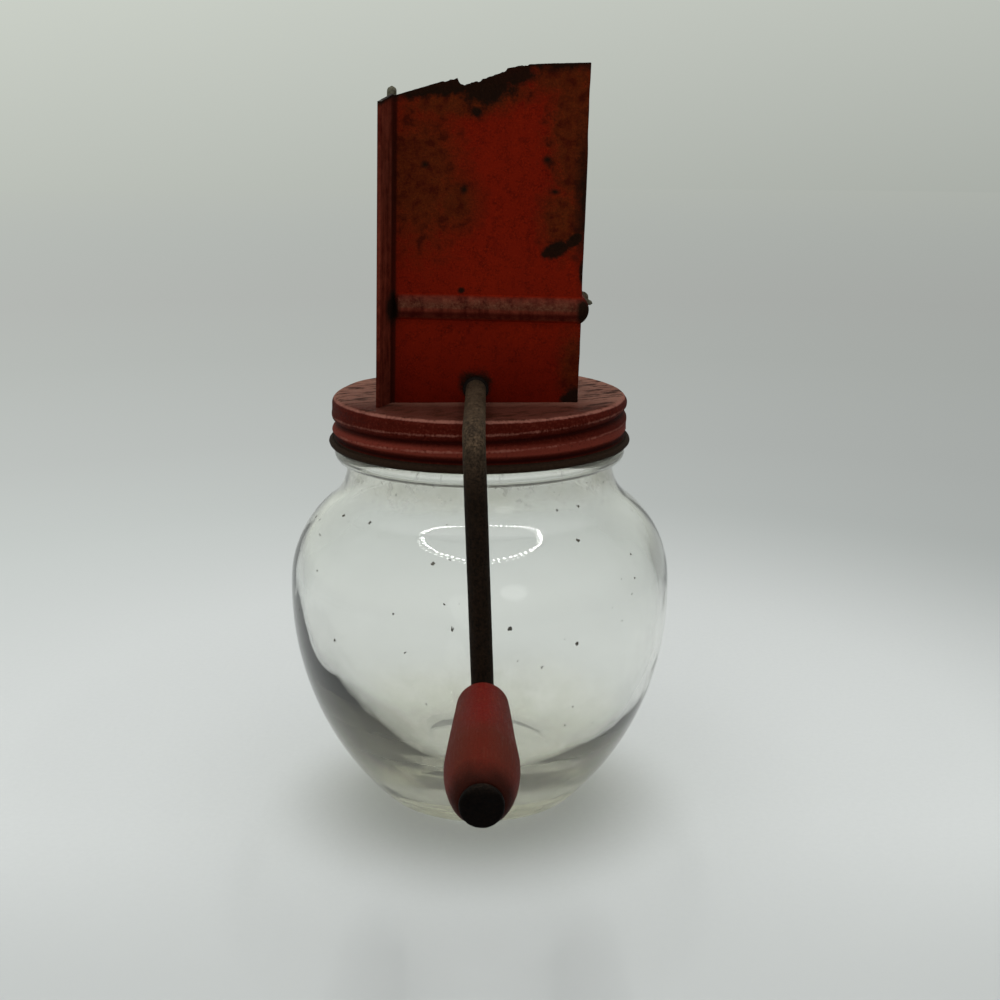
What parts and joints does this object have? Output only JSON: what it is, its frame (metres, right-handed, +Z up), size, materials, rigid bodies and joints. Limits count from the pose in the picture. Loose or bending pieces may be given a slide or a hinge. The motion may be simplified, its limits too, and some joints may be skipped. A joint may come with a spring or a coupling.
{
  "type": "hand-crank nut chopper",
  "caption": "Hand-cranked nut chopper: glass jar, tin screw lid with a sheet-metal hopper, and a bent-rod crank with a wooden grip that turns a cutter over the jar's mouth.",
  "frame": {"origin": "middle of the jar's flat base, on the table", "axes": "+Z up along the jar's axis, -Y towards the crank's grip, +X to the right of someone facing the crank"},
  "size_m": [0.1014, 0.1774, 0.193],
  "materials": {
    "glass": "clear pressed glass, slightly green in the base",
    "paperboard": "aged paperboard",
    "lid_paint": "faded red paint on tinplate, worn at the edges",
    "hopper_paint": "dark red paint on tinplate, rusted in patches",
    "cutter_steel": "dull tinned steel",
    "wire_steel": "dull greenish grey wire",
    "solder": "dull grey solder",
    "rod_steel": "dark brown rusted steel rod",
    "grip_wood": "worn red paint on turned wood"
  },
  "bodies": {
    "jar": {"glass_jar": "glass"},
    "liner": {"lid_liner": "paperboard"},
    "lid": {"screw_lid": "lid_paint", "hopper_shell": "hopper_paint", "left_comb": "cutter_steel", "right_comb": "cutter_steel", "cross_wire": "wire_steel", "wire_solder": "solder"},
    "crank": {"crank_rod": "rod_steel", "cutter_blade_1": "cutter_steel", "cutter_blade_2": "cutter_steel", "cutter_blade_3": "cutter_steel", "cutter_blade_4": "cutter_steel", "spacer_1": "cutter_steel", "spacer_2": "cutter_steel", "spacer_3": "cutter_steel", "spacer_4": "cutter_steel", "spacer_5": "cutter_steel", "front_washer": "rod_steel", "rear_washer": "rod_steel", "grip_cap": "rod_steel"},
    "grip": {"wood_grip": "grip_wood"}
  },
  "joints": [
    {"name": "lid_rise", "type": "slide", "parent": "jar", "child": "liner", "axis": [0, 0, 1], "range_m": [0, 0.0045]},
    {"name": "lid_turn", "type": "hinge", "parent": "liner", "child": "lid", "pos_m": [0, 0, 0.1], "axis": [0, 0, 1], "range_deg": [0, 270]},
    {"name": "crank_spin", "type": "hinge", "parent": "lid", "child": "crank", "pos_m": [-0.0008, 0, 0.1139], "axis": [0, 1, 0], "continuous": true},
    {"name": "grip_spin", "type": "hinge", "parent": "crank", "child": "grip", "pos_m": [0.00101, -0.1, 0.05473], "axis": [0, 1, 0], "continuous": true}
  ],
  "couplings": [
    {"joint": "lid_rise", "follows": "lid_turn", "m_per_rad": 0.00095493}
  ]
}
